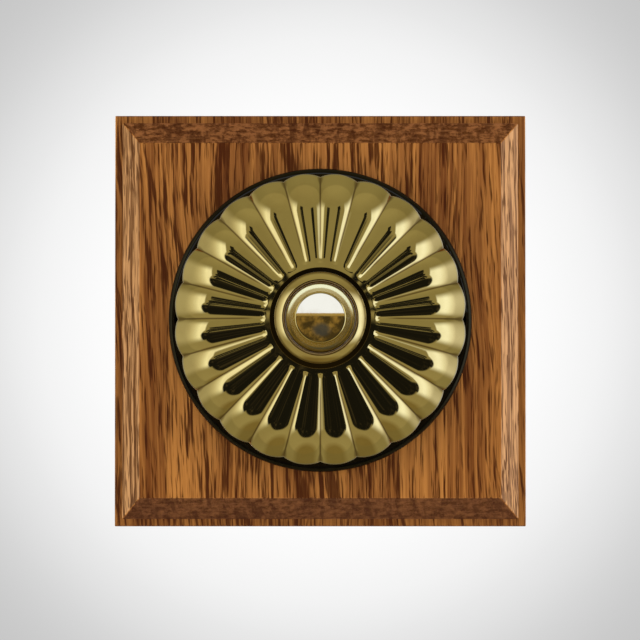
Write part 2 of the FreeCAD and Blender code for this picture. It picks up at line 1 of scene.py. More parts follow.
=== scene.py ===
import math
import bmesh
import bpy
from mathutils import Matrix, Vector


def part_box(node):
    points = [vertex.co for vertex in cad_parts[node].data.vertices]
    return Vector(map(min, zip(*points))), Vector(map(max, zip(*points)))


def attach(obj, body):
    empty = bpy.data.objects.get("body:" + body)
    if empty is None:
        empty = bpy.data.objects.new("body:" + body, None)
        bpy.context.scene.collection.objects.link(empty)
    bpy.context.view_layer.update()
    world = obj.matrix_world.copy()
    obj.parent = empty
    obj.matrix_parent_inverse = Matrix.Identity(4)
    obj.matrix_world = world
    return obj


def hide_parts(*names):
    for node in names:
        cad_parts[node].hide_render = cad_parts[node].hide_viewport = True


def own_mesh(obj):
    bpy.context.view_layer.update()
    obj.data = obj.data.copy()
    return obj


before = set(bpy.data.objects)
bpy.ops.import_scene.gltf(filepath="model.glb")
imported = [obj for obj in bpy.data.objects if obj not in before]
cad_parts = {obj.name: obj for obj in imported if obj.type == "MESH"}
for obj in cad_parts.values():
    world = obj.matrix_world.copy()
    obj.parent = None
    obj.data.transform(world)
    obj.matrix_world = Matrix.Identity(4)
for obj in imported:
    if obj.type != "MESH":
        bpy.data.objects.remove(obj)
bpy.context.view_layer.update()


# Oak block: one square of solid oak with the grain upright, planed and sanded, with a bevel and a narrow flat
# ledge cut round its face. A round well for the works goes right through, and two holes take the wall screws.
# It has a thin satin varnish that leaves the dark open pores to be seen.
mm = 0.001
block_half = 47.5 * mm
face_level = 18.0 * mm
ledge_level = 14.0 * mm
ledge_width = 1.7 * mm
side_bevel = 4.2 * mm
end_bevel = 4.95 * mm
arris_round = 0.22 * mm
well_radius = 24.027 * mm
fixing_hole_radius = 2.0 * mm
fixing_reach = 30.15 * mm


def start_editing(name):
    """Names the object just added and opens its mesh for editing, with all of it selected."""
    piece = bpy.context.object
    piece.name = piece.data.name = name
    bpy.ops.object.mode_set(mode="EDIT")
    bpy.ops.mesh.select_mode(type="VERT")
    bpy.ops.mesh.select_all(action="SELECT")
    return piece


def pick(piece, kind, wanted):
    """Selects the faces, edges or corners of the open mesh that are wanted, and nothing else."""
    bpy.ops.mesh.select_mode(type={"faces": "FACE", "edges": "EDGE", "verts": "VERT"}[kind])
    bpy.ops.mesh.select_all(action="DESELECT")
    mesh = bmesh.from_edit_mesh(piece.data)
    for part in getattr(mesh, kind):
        part.select_set(bool(wanted(part)))
    mesh.select_flush_mode()
    bmesh.update_edit_mesh(piece.data)


def bore(piece, radius, low, high, x=0.0, z=0.0, sides=96):
    """Cuts a round hole through the piece, from one level to another, with a drill made for it."""
    bpy.ops.object.select_all(action="DESELECT")
    bpy.ops.mesh.primitive_cylinder_add(
        vertices=sides, radius=radius, depth=high - low, location=(x, -(low + high) / 2, z),
        rotation=(math.pi / 2, 0, 0))
    drill = bpy.context.object
    bpy.context.view_layer.objects.active = piece
    cut = piece.modifiers.new("bore", "BOOLEAN")
    cut.object = drill
    cut.solver = "EXACT"
    bpy.ops.object.modifier_apply(modifier="bore")
    bpy.data.objects.remove(drill)


def smooth_over(piece, degrees):
    """Shades the piece smooth, except along the edges that turn more than this."""
    bpy.ops.object.select_all(action="DESELECT")
    piece.select_set(True)
    bpy.context.view_layer.objects.active = piece
    bpy.ops.object.shade_smooth_by_angle(angle=math.radians(degrees))


bpy.ops.object.select_all(action="DESELECT")
bpy.ops.mesh.primitive_cube_add(size=1)
oak_block = start_editing("oak_block")
bpy.ops.transform.resize(value=(2 * block_half, ledge_level, 2 * block_half))
bpy.ops.transform.translate(value=(0, -ledge_level / 2, 0))
pick(oak_block, "faces", lambda face: face.normal.y < -0.9)
bpy.ops.mesh.inset(thickness=ledge_width)
bevel_foot = block_half - ledge_width
bpy.ops.mesh.extrude_region_move(TRANSFORM_OT_translate={"value": (0, ledge_level - face_level, 0)})
bpy.ops.transform.resize(
    value=(1 - side_bevel / bevel_foot, 1, 1 - end_bevel / bevel_foot), center_override=(0, 0, 0))
pick(oak_block, "edges", lambda edge: edge.is_convex and edge.calc_face_angle() > 0.3)
bpy.ops.mesh.bevel(offset=arris_round, segments=3, profile=0.5, affect="EDGES")
bpy.ops.object.mode_set(mode="OBJECT")
bore(oak_block, well_radius, -1 * mm, face_level + 1 * mm, sides=160)
for side in (-1, 1):
    bore(oak_block, fixing_hole_radius, -1 * mm, face_level + 1 * mm, x=side * fixing_reach, sides=48)
smooth_over(oak_block, 30)


def add_node(tree, kind, inputs=None, **settings):
    """Adds a shader node, with its settings, and values or links for its inputs."""
    node = tree.nodes.new(kind)
    for name, value in settings.items():
        setattr(node, name, value)
    for name, value in (inputs or {}).items():
        if isinstance(value, bpy.types.NodeSocket):
            tree.links.new(value, node.inputs[name])
        else:
            node.inputs[name].default_value = value
    return node


def sum_up(tree, operation, first, second=0.0, third=0.0):
    """One step of arithmetic on values in a shader."""
    return add_node(tree, "ShaderNodeMath", {0: first, 1: second, 2: third}, operation=operation).outputs[0]


def split(tree, vector):
    """The X, Y and Z of a vector, as values."""
    return add_node(tree, "ShaderNodeSeparateXYZ", {"Vector": vector}).outputs


def ease(tree, value, low, high, start=0.0, end=1.0):
    """Goes smoothly from start to end as the value goes from low to high."""
    return add_node(
        tree, "ShaderNodeMapRange",
        {"Value": value, "From Min": low, "From Max": high, "To Min": start, "To Max": end},
        interpolation_type="SMOOTHSTEP").outputs["Result"]


def stain(tree, amount, under, over):
    """Lays one colour over another, by an amount that changes over the surface."""
    node = add_node(tree, "ShaderNodeMix", {"Factor": amount}, data_type="RGBA")
    for socket, value in ((node.inputs[6], under), (node.inputs[7], over)):
        if isinstance(value, bpy.types.NodeSocket):
            tree.links.new(value, socket)
        else:
            socket.default_value = (*value, 1.0)
    return node.outputs[2]


def cloud(tree, place, scale, stretch=(1, 1, 1), detail=2.0, roughness=0.5, shift=(0, 0, 0)):
    """A soft random value from 0 to 1, stretched along the directions with a small number."""
    moved = add_node(tree, "ShaderNodeMapping", {"Vector": place, "Location": shift, "Scale": stretch})
    return add_node(
        tree, "ShaderNodeTexNoise",
        {"Vector": moved.outputs[0], "Scale": scale, "Detail": detail, "Roughness": roughness}).outputs["Fac"]


def new_finish(name):
    """A new material with an empty shader tree, its main shader, and the place on the piece."""
    finish = bpy.data.materials.new(name)
    finish.use_nodes = True
    tree = finish.node_tree
    tree.nodes.clear()
    shader = add_node(tree, "ShaderNodeBsdfPrincipled")
    add_node(tree, "ShaderNodeOutputMaterial", {"Surface": shader.outputs[0]})
    return finish, tree, shader, add_node(tree, "ShaderNodeTexCoord")


honey_dark, honey_light = (0.150, 0.046, 0.0088), (0.425, 0.170, 0.036)
fine_line_brown = (0.066, 0.017, 0.0034)
pore_brown = (0.052, 0.0115, 0.0020)
ledge_dirt_and_shade = (0.058, 0.017, 0.0046)
tan_dark, tan_light = (0.078, 0.030, 0.0085), (0.335, 0.172, 0.067)
right_facing_sheen = (0.340, 0.200, 0.125)
dash_brown = (0.050, 0.017, 0.0050)
end_dark, end_light = (0.056, 0.0155, 0.0040), (0.235, 0.088, 0.0275)
end_ring_brown = (0.042, 0.0110, 0.0028)
end_scratch_tan = (0.230, 0.092, 0.030)
underside_painted_shade = (0.050, 0.015, 0.0045)
oak, tree, shader, where = new_finish("oak")
place = split(tree, where.outputs["Object"])


def leaning(lean, sway):
    """The place on the block, leaned and pushed sideways a little, because the grain drifts as it goes up."""
    drift = cloud(tree, where.outputs["Object"], 45.0, (1, 1, 0.6), detail=1.0)
    swayed = sum_up(tree, "MULTIPLY_ADD", drift, sway, -sway / 2)
    push = add_node(tree, "ShaderNodeCombineXYZ", {"X": sum_up(tree, "MULTIPLY_ADD", place["Z"], lean, swayed)})
    return add_node(tree, "ShaderNodeVectorMath", {0: where.outputs["Object"], 1: push.outputs[0]}).outputs[0]


upright = leaning(0.03, 0.004)
slanting = leaning(0.16, 0.006)
# Yearly rings as slanting bands, in which the dark open pores crowd together. Fibres and pores run up the block.
rings = cloud(tree, slanting, 620.0, (1, 0.5, 0.10), detail=2.0, roughness=0.55)
bands_of_tone = cloud(tree, upright, 150.0, (1, 0.5, 0.06), detail=1.0, shift=(0.2, 0.5, 0.3))
fibres = cloud(tree, upright, 1150.0, (1, 1, 0.020), detail=3.0, roughness=0.70)
pores = cloud(tree, upright, 2200.0, (1, 1, 0.045), detail=2.0, roughness=0.60, shift=(0.7, 0.4, 0.1))
dashes = cloud(tree, upright, 2600.0, (1, 1, 0.06), detail=1.0, shift=(0.1, 0.9, 0.6))
calm_side = ease(tree, place["X"], 6.0 * mm, 26.0 * mm)
crowd = sum_up(tree, "MULTIPLY", rings, 0.65)
for share, value in ((0.34, fibres), (0.66, pores), (0.05, calm_side)):
    crowd = sum_up(tree, "MULTIPLY_ADD", value, share, crowd)
dark_streaks = ease(tree, crowd, 0.71, 0.86, 1.0, 0.0)
fine_lines = ease(tree, pores, 0.38, 0.47, 1.0, 0.0)
tone = sum_up(tree, "MULTIPLY_ADD", bands_of_tone, 0.5, sum_up(tree, "MULTIPLY", fibres, 0.8))
honey = stain(tree, ease(tree, tone, 0.45, 0.85), honey_dark, honey_light)
streaked = stain(tree, sum_up(tree, "MULTIPLY", fine_lines, 0.62), honey, fine_line_brown)
streaked = stain(tree, sum_up(tree, "MULTIPLY", dark_streaks, 0.88), streaked, pore_brown)
# The flat ledge and the sides below it are painted darker: old dirt in the corner at the bevel's foot, and painted
# shade.
ledge_shade = 0.36
ledge = ease(tree, place["Y"], -(ledge_level + 0.8 * mm), -(ledge_level + 0.2 * mm), 0.0, ledge_shade)
streaked = stain(tree, ledge, streaked, ledge_dirt_and_shade)
# The bevels up the sides cut along the grain, with short dark dashes, and their paler tan is partly the grain and
# partly painted sheen; surfaces facing right get more painted sheen. End grain is darker and speckled.
facing = split(tree, where.outputs["Normal"])
along = ease(tree, sum_up(tree, "ABSOLUTE", facing["X"]), 0.35, 0.60)
across = ease(tree, sum_up(tree, "ABSOLUTE", facing["Z"]), 0.35, 0.60)
tan = stain(tree, ease(tree, fibres, 0.38, 0.62), tan_dark, tan_light)
# Painted sheen: surfaces that face right are made paler.
tan = stain(tree, ease(tree, facing["X"], 0.3, 0.6, 0.0, 0.16), tan, right_facing_sheen)
tan = stain(tree, ease(tree, dashes, 0.37, 0.46, 0.85, 0.0), tan, dash_brown)
speckle = cloud(tree, where.outputs["Object"], 900.0, (0.55, 1, 1), detail=5.0, roughness=0.72)
scratches = cloud(tree, upright, 1500.0, (0.12, 1, 1), detail=2.0, shift=(0.4, 0.2, 0.9))
end_grain = stain(tree, ease(tree, speckle, 0.38, 0.64), end_dark, end_light)
end_grain = stain(tree, ease(tree, rings, 0.36, 0.50, 0.65, 0.0), end_grain, end_ring_brown)
end_grain = stain(tree, ease(tree, scratches, 0.55, 0.72, 0.0, 0.45), end_grain, end_scratch_tan)
# Painted shade: end grain that faces down is painted darker.
end_grain = stain(tree, ease(tree, facing["Z"], -0.6, -0.3, 0.55, 0.0), end_grain, underside_painted_shade)
colour = stain(tree, along, stain(tree, across, streaked, end_grain), tan)
hollows = sum_up(tree, "MULTIPLY_ADD", dark_streaks, 0.6, sum_up(tree, "MULTIPLY", fine_lines, 0.5))
relief = sum_up(tree, "MULTIPLY_ADD", fibres, 0.3, sum_up(tree, "MULTIPLY", hollows, -1.0))
bumps = add_node(tree, "ShaderNodeBump", {"Strength": 0.35, "Distance": 0.10 * mm, "Height": relief})
tree.links.new(colour, shader.inputs["Base Color"])
tree.links.new(ease(tree, hollows, 0.0, 0.8, 0.42, 0.62), shader.inputs["Roughness"])
tree.links.new(bumps.outputs[0], shader.inputs["Normal"])
shader.inputs["Specular IOR Level"].default_value = 0.06
oak_block.data.materials.append(oak)
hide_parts("pattress")
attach(oak_block, "switch")


# Base moulding and back cover: black thermoset pressed in a polished die. The base is screwed to the oak and shows
# as a thin glossy ring round the dome. Its tower and the cover are seen from behind, in the well of the oak.
jet, charcoal = (0.0016, 0.0014, 0.0010), (0.0030, 0.0026, 0.0019)
warm_gloss = (1.0, 0.82, 0.40, 1.0)
black_moulding, tree, shader, where = new_finish("black_moulding")
cloudy = cloud(tree, where.outputs["Object"], 220.0, detail=4.0, roughness=0.6)
specks = cloud(tree, where.outputs["Object"], 2600.0, detail=2.0)
tint = stain(tree, ease(tree, cloudy, 0.35, 0.7), jet, charcoal)
tree.links.new(tint, shader.inputs["Base Color"])
tree.links.new(ease(tree, cloudy, 0.3, 0.75, 0.05, 0.11), shader.inputs["Roughness"])
bumps = add_node(tree, "ShaderNodeBump", {"Strength": 0.05, "Distance": 0.05 * mm, "Height": specks})
tree.links.new(bumps.outputs[0], shader.inputs["Normal"])
shader.inputs["Specular IOR Level"].default_value = 0.3
shader.inputs["Specular Tint"].default_value = warm_gloss


def finish_node(name, finish):
    """Gives a CAD node that keeps its own shape its finish."""
    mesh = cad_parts[name].data
    mesh.materials.clear()
    mesh.materials.append(finish)


for name in ("base_plate", "back_cover"):
    finish_node(name, black_moulding)


# Metals inside: the bush, nut, earth strap, contacts and terminals are turned or pressed brass, the moving blade
# is bronze strip, and the screws and latch wire are plated steel. All metals share the same marks of wear: a slow
# cloud of tarnish, fine polishing lines and a slight unevenness.
marks = bpy.data.node_groups.new("metal_marks", "ShaderNodeTree")
for socket, way, kind in (
        ("Clean", "INPUT", "Color"), ("Tarnished", "INPUT", "Color"), ("Tarnish", "INPUT", "Float"),
        ("Smooth", "INPUT", "Float"), ("Rough", "INPUT", "Float"), ("Place", "INPUT", "Vector"),
        ("Colour", "OUTPUT", "Color"), ("Roughness", "OUTPUT", "Float"), ("Height", "OUTPUT", "Float")):
    marks.interface.new_socket(socket, in_out=way, socket_type="NodeSocket" + kind)
given = add_node(marks, "NodeGroupInput")
slow = cloud(marks, given.outputs["Place"], 130.0, detail=4.0, roughness=0.6)
fine = cloud(marks, given.outputs["Place"], 1400.0, detail=3.0, roughness=0.55)
uneven = cloud(marks, given.outputs["Place"], 160.0, detail=1.0)
patch = sum_up(marks, "MULTIPLY", ease(marks, slow, 0.42, 0.72), given.outputs["Tarnish"])
mixed = stain(marks, patch, given.outputs["Clean"], given.outputs["Tarnished"])
gloss = add_node(marks, "ShaderNodeMapRange", {
    "Value": sum_up(marks, "MULTIPLY_ADD", fine, 0.4, sum_up(marks, "MULTIPLY", slow, 0.6)),
    "From Min": 0.3, "From Max": 0.75, "To Min": given.outputs["Smooth"], "To Max": given.outputs["Rough"]})
height = sum_up(marks, "MULTIPLY_ADD", fine, 0.10, uneven)
add_node(marks, "NodeGroupOutput", {
    "Colour": mixed, "Roughness": gloss.outputs["Result"], "Height": height})


def metal(name, clean, tarnished, tarnish, smooth, rough, unevenness):
    """A metal finish with the shared marks of wear in its own colours."""
    finish, tree, shader, where = new_finish(name)
    wear = add_node(tree, "ShaderNodeGroup", node_tree=marks)
    tree.links.new(where.outputs["Object"], wear.inputs["Place"])
    wear.inputs["Clean"].default_value = (*clean, 1.0)
    wear.inputs["Tarnished"].default_value = (*tarnished, 1.0)
    wear.inputs["Tarnish"].default_value = tarnish
    wear.inputs["Smooth"].default_value = smooth
    wear.inputs["Rough"].default_value = rough
    bumps = add_node(tree, "ShaderNodeBump", {
        "Strength": unevenness, "Distance": 0.05 * mm, "Height": wear.outputs["Height"]})
    tree.links.new(wear.outputs["Colour"], shader.inputs["Base Color"])
    tree.links.new(wear.outputs["Roughness"], shader.inputs["Roughness"])
    tree.links.new(bumps.outputs[0], shader.inputs["Normal"])
    shader.inputs["Metallic"].default_value = 1.0
    return finish, tree, shader, where, wear


turned_brass = metal("turned_brass", (0.80, 0.60, 0.27), (0.42, 0.26, 0.10), 0.6, 0.22, 0.38, 0.25)[0]
bronze = metal("bronze", (0.72, 0.42, 0.22), (0.36, 0.18, 0.09), 0.6, 0.25, 0.40, 0.2)[0]
steel = metal("steel", (0.56, 0.56, 0.55), (0.34, 0.33, 0.31), 0.7, 0.24, 0.42, 0.25)[0]
for name in ("bush", "lock_nut", "earth_tag", "contact_common", "contact_l1", "contact_l2",
             "terminal_common", "terminal_l1", "terminal_l2", "terminal_earth"):
    finish_node(name, turned_brass)
finish_node("moving_contact", bronze)
for name in ("base_screws", "terminal_screws", "cover_screws", "latch_wire"):
    finish_node(name, steel)


# Plunger: the slide under the button, moulded in pale nylon, with a slight bloom on its faces. Its peg sits in the
# button, and its sides run in the tower.
nylon, tree, shader, where = new_finish("nylon")
bloom = cloud(tree, where.outputs["Object"], 400.0, detail=4.0)
tree.links.new(stain(tree, bloom, (0.62, 0.60, 0.53), (0.74, 0.72, 0.66)), shader.inputs["Base Color"])
tree.links.new(ease(tree, bloom, 0.3, 0.7, 0.38, 0.52), shader.inputs["Roughness"])
shader.inputs["Subsurface Weight"].default_value = 0.15
shader.inputs["Subsurface Scale"].default_value = 1.0 * mm
finish_node("plunger", nylon)


# Return spring: five turns of hard drawn steel wire under the plunger. It stands on the cover; this script builds
# it at one length, on the switch body.
wire_radius = 0.35 * mm
coil_radius = 3.6 * mm
coil_turns = 5
spring_low, spring_high = -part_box("return_spring")[1].y, -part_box("return_spring")[0].y
pitch = (spring_high - spring_low - 2 * wire_radius) / coil_turns
bpy.ops.object.select_all(action="DESELECT")
bpy.ops.mesh.primitive_circle_add(vertices=16, radius=wire_radius)
spring = start_editing("spring_coil")
bpy.ops.transform.translate(value=(coil_radius, -(spring_low + wire_radius), 0))
bpy.ops.object.mode_set(mode="OBJECT")
wind = spring.modifiers.new("wind", "SCREW")
wind.axis = "Y"
wind.angle = 2 * math.pi
wind.screw_offset = -pitch
wind.iterations = coil_turns
wind.steps = wind.render_steps = 40
bpy.ops.object.modifier_apply(modifier="wind")
bpy.ops.object.mode_set(mode="EDIT")
pick(spring, "edges", lambda edge: edge.is_boundary)
bpy.ops.mesh.edge_face_add()
bpy.ops.mesh.select_all(action="SELECT")
bpy.ops.mesh.normals_make_consistent(inside=False)
bpy.ops.object.mode_set(mode="OBJECT")
smooth_over(spring, 40)
spring.data.materials.append(steel)
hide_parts("return_spring")
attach(spring, "switch")
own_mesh(spring)


# Dome: sheet brass spun and pressed into 24 round flutes with sharp valleys between them, then polished bright.
# The flutes rise out of a smooth neck, grow as they go over the shoulder and end in a scalloped rim. It stands on
# the black base, and the ring nut clamps it to the bush.
flute_count = 24
dome_hole = 9.35 * mm
land_radius = 11.5 * mm
slope = math.radians(14.0)
shoulder_turn = 12.6 * mm
shoulder_radius = 25.14 * mm
shoulder_level = 33.746 * mm
rim_tilt = math.radians(46.0)
rim_turn = 0.3 * mm
crest_radius = 33.35 * mm
base_top = 21.5 * mm
flute_start = 12.5 * mm
flute_run_in = 1.3 * mm
flute_depth, rim_depth = 0.355 * mm, 1.17 * mm
sheet_thickness = 0.9 * mm
dome_top = shoulder_level + (shoulder_radius - land_radius) * math.tan(slope)


def spread(first, last, count):
    """Even steps from one value to another, without the first one."""
    return [first + (last - first) * step / count for step in range(1, count + 1)]


def flute_place(station, share):
    """A point on the round of one flute, from its left valley at -1 over its crest to its right valley at 1."""
    radius, level, tilt = station
    run = min(1.0, max(0.0, (radius - flute_start) / flute_run_in))
    growth = (radius - flute_start) / (crest_radius - flute_start)
    drop = (1 - (1 - run) ** 2) * (flute_depth + growth * (rim_depth - flute_depth))
    drop *= 0.88 * abs(share) ** 1.9 + 0.12 * abs(share) ** 9  # a round flute with a sharper valley
    angle = share * math.pi / flute_count
    radius -= drop * math.sin(min(tilt, rim_tilt))
    level = max(base_top, level - drop * math.cos(min(tilt, rim_tilt)))
    return Vector((radius * math.cos(angle), -level, radius * math.sin(angle)))


# Crest radius, level and tilt from the hole over the flat land, the slope and the shoulder to the rim
stations = [(dome_hole, dome_top, 0.0), (land_radius, dome_top, 0.0)]
for radius in (spread(land_radius, flute_start, 3) + spread(flute_start, flute_start + flute_run_in, 10)
               + spread(flute_start + flute_run_in, shoulder_radius, 12)):
    stations.append((radius, dome_top - (radius - land_radius) * math.tan(slope), slope))
for tilt in spread(slope, rim_tilt, 24):
    stations.append((
        shoulder_radius + shoulder_turn * (math.sin(tilt) - math.sin(slope)),
        shoulder_level - shoulder_turn * (math.cos(slope) - math.cos(tilt)), tilt))
edge_radius = crest_radius - rim_turn * (1 - math.sin(rim_tilt))
shoulder_end, shoulder_foot = stations[-1][:2]
edge_level = shoulder_foot - (edge_radius - shoulder_end) * math.tan(rim_tilt)
for share in spread(0.0, 1.0, 4):
    stations.append((
        shoulder_end + share * (edge_radius - shoulder_end),
        shoulder_foot + share * (edge_level - shoulder_foot), rim_tilt))
for tilt in spread(rim_tilt, math.pi / 2, 6):
    stations.append((
        edge_radius + rim_turn * (math.sin(tilt) - math.sin(rim_tilt)),
        edge_level - rim_turn * (math.cos(rim_tilt) - math.cos(tilt)), tilt))
stations += [(crest_radius, level, math.pi / 2) for level in spread(stations[-1][1], base_top, 2)]


def on_crease(spot):
    """Whether a point lies where the flat land turns into the slope."""
    near = 0.01 * mm
    return abs(math.hypot(spot.x, spot.z) - land_radius) < near and abs(spot.y + dome_top) < near


strips = 24
bpy.ops.object.select_all(action="DESELECT")
bpy.ops.mesh.primitive_grid_add(x_subdivisions=strips, y_subdivisions=len(stations) - 1, size=2)
dome = start_editing("dome_shell")
mesh = bmesh.from_edit_mesh(dome.data)
for corner in mesh.verts:
    station = stations[round((corner.co.y + 1) / 2 * (len(stations) - 1))]
    corner.co = flute_place(station, round(corner.co.x * strips / 2) * 2 / strips)
bmesh.update_edit_mesh(dome.data)
bpy.ops.transform.rotate(
    value=math.pi / flute_count, orient_axis="Y", center_override=(0, 0, 0), constraint_axis=(False, True, False))
bpy.ops.mesh.spin(
    steps=flute_count - 1, dupli=True, angle=2 * math.pi * (flute_count - 1) / flute_count, center=(0, 0, 0),
    axis=(0, 1, 0))
bpy.ops.mesh.select_all(action="SELECT")
bpy.ops.mesh.remove_doubles(threshold=2e-6)
bpy.ops.mesh.normals_make_consistent(inside=False)
bpy.ops.object.mode_set(mode="OBJECT")
wall = dome.modifiers.new("wall", "SOLIDIFY")
wall.thickness = sheet_thickness
wall.offset = -1
bpy.ops.object.modifier_apply(modifier="wall")
smooth_over(dome, 26)
bpy.ops.object.mode_set(mode="EDIT")
pick(dome, "edges", lambda edge: all(on_crease(end.co) for end in edge.verts))
bpy.ops.mesh.mark_sharp()
bpy.ops.object.mode_set(mode="OBJECT")


def from_axis(tree, place):
    """How far a place lies from the axis of the button."""
    depth = sum_up(tree, "MULTIPLY", place["Z"], place["Z"])
    return sum_up(tree, "SQRT", sum_up(tree, "MULTIPLY_ADD", place["X"], place["X"], depth))


valley_dirt_and_shade = (0.20, 0.115, 0.035)
land_dark_reflection = (0.012, 0.010, 0.006)
rim_highlight_brass = (0.66, 0.62, 0.48)
valley_lines_start, valley_lines_full = 14.0 * mm, 18.0 * mm
valley_widen_from, valley_widen_full = 30.4 * mm, 32.2 * mm
line_core, line_width, rim_line_width = 0.08 * mm, 0.30 * mm, 0.90 * mm
dome_brass, tree, shader, where, wear = metal(
    "dome_brass", (0.89, 0.72, 0.33), (0.70, 0.52, 0.22), 0.35, 0.03, 0.065, 0.10)
# The valleys, which lie every 15 degrees from the upright, are darker: polish and dirt stay in them, and the dark
# lines there are also painted shade in the creases.
place = split(tree, where.outputs["Object"])
angle = sum_up(tree, "ARCTAN2", place["X"], place["Z"])
off_valley = sum_up(tree, "PINGPONG", angle, math.pi / flute_count)
out = from_axis(tree, place)
valley_line_width = ease(tree, out, valley_widen_from, valley_widen_full, line_width, rim_line_width)
valley = ease(tree, sum_up(tree, "MULTIPLY", off_valley, out), line_core, valley_line_width, 1.0, 0.0)
valley = sum_up(tree, "MULTIPLY", valley, ease(tree, out, valley_lines_start, valley_lines_full))
dirt_and_painted_light = stain(tree, sum_up(tree, "MULTIPLY", valley, 0.75), wear.outputs["Colour"], valley_dirt_and_shade)
# The flat land round the ring nut is painted nearly black, a painted dark reflection
land = ease(tree, out, land_radius - 0.10 * mm, land_radius + 0.02 * mm, 0.95, 0.0)
dirt_and_painted_light = stain(tree, land, dirt_and_painted_light, land_dark_reflection)
# A painted highlight: a thin band round the rim, where it turns over and still faces the front, is paler, and it
# is duller too
share = sum_up(tree, "MULTIPLY_ADD", off_valley, -flute_count / math.pi, 1.0)
inward = sum_up(tree, "MULTIPLY_ADD", sum_up(tree, "POWER", share, 2.0), rim_depth * math.sin(rim_tilt), out)
rim_highlight_band = ease(tree, inward, crest_radius - 0.30 * mm, crest_radius - 0.12 * mm)
facing = split(tree, where.outputs["Normal"])
rim_highlight_band = sum_up(tree, "MULTIPLY", rim_highlight_band, ease(tree, facing["Y"], -0.35, -0.10, 1.0, 0.0))
dirt_and_painted_light = stain(tree, rim_highlight_band, dirt_and_painted_light, rim_highlight_brass)
tree.links.new(dirt_and_painted_light, shader.inputs["Base Color"])
dull = sum_up(tree, "MULTIPLY_ADD", rim_highlight_band, 0.35, wear.outputs["Roughness"])
tree.links.new(dull, shader.inputs["Roughness"])
dome.data.materials.append(dome_brass)
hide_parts("dome_cover")
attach(dome, "switch")


# Bezel: a ring nut turned from brass bar and polished. It screws down on the bush and clamps the dome. A rounded
# face leads in to a groove and a thin lip that the button slides in.
def round_off(middle, level, turn, first, last, count):
    """Points of a round edge in the half section, from one angle to another."""
    angles = [math.radians(first + (last - first) * step / count) for step in range(count + 1)]
    return [(middle + turn * math.cos(angle), level + turn * math.sin(angle)) for angle in angles]


def turn_up(name, half_section, steps):
    """Draws half a section by drawing one corner out from point to point, then spins it round the axis."""
    corners = [Vector((radius, -level, 0)) for radius, level in half_section]
    bpy.ops.object.select_all(action="DESELECT")
    bpy.ops.mesh.primitive_plane_add(size=1)
    piece = start_editing(name)
    bpy.ops.mesh.merge(type="CENTER")
    bpy.ops.transform.translate(value=corners[0])
    for here, there in zip(corners, corners[1:]):
        bpy.ops.mesh.extrude_region_move(TRANSFORM_OT_translate={"value": there - here})
    bpy.ops.mesh.select_all(action="SELECT")
    bpy.ops.mesh.spin(steps=steps, angle=2 * math.pi, center=(0, 0, 0), axis=(0, 1, 0))
    bpy.ops.mesh.select_all(action="SELECT")
    bpy.ops.mesh.remove_doubles(threshold=1e-6)
    bpy.ops.mesh.normals_make_consistent(inside=False)
    bpy.ops.object.mode_set(mode="OBJECT")
    smooth_over(piece, 28)
    return piece


thread_radius = 9.25 * mm
bezel_radius = 10.4 * mm
face_turn = 4.46 * mm
outer_turn = 1.8 * mm
groove_radius = 8.6 * mm
lip_radius = 8.0 * mm
bezel_height, groove_drop, lip_height = 4.5 * mm, 0.9 * mm, 1.1 * mm
bezel_top = dome_top + bezel_height
lip_top = bezel_top - groove_drop
lip_low = lip_top - lip_height
lip_round = 0.2 * mm
foot_chamfer = 0.1 * mm
# The outer edge turns to the first angle, and the flatter face goes on from there to the second
edge_end, face_end = 45, 65
edge_sine, face_sine = math.sin(math.radians(edge_end)), math.sin(math.radians(face_end))
face_low = bezel_top - outer_turn * edge_sine - face_turn * (face_sine - edge_sine)
turn_more = (face_turn - outer_turn) * edge_sine
bezel_section = [
    (thread_radius, dome_top), (bezel_radius - foot_chamfer, dome_top), (bezel_radius, dome_top + foot_chamfer)]
bezel_section += round_off(bezel_radius - outer_turn, face_low, outer_turn, 0, edge_end, 14)
bezel_section += round_off(
    bezel_radius - outer_turn - turn_more, face_low - turn_more, face_turn, edge_end, face_end, 18)[1:]
bezel_section += [(groove_radius, lip_top - lip_round - 0.02 * mm)]
bezel_section += round_off(groove_radius - lip_round, lip_top - lip_round, lip_round, 0, 90, 6)
bezel_section += round_off(lip_radius + lip_round, lip_top - lip_round, lip_round, 90, 180, 6)
bezel_section += [(lip_radius, lip_low), (thread_radius, lip_low), (thread_radius, dome_top)]
bezel = turn_up("bezel_ring", bezel_section, 192)
bezel_brass, tree, shader, where, wear = metal(
    "bezel_brass", (0.89, 0.71, 0.32), (0.66, 0.47, 0.19), 0.5, 0.04, 0.08, 0.08)
# Painted shade darkens the foot of the ring, where it meets the dome
place = split(tree, where.outputs["Object"])
painted_foot_shade, groove_brown = (0.10, 0.065, 0.025), (0.36, 0.20, 0.030)
foot = ease(tree, place["Y"], -(dome_top + 3.8 * mm), -(dome_top + 3.0 * mm), 0.0, 0.8)
dirt_and_painted_light = stain(tree, foot, wear.outputs["Colour"], painted_foot_shade)
out = from_axis(tree, place)
groove = ease(tree, out, groove_radius - 0.02 * mm, groove_radius + 0.06 * mm, 1.0, 0.0)
dirt_and_painted_light = stain(tree, sum_up(tree, "MULTIPLY", groove, 0.9), dirt_and_painted_light, groove_brown)
tree.links.new(dirt_and_painted_light, shader.inputs["Base Color"])
tree.links.new(sum_up(tree, "MULTIPLY_ADD", groove, 0.25, wear.outputs["Roughness"]), shader.inputs["Roughness"])
bezel.data.materials.append(bezel_brass)
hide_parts("bezel")
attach(bezel, "switch")


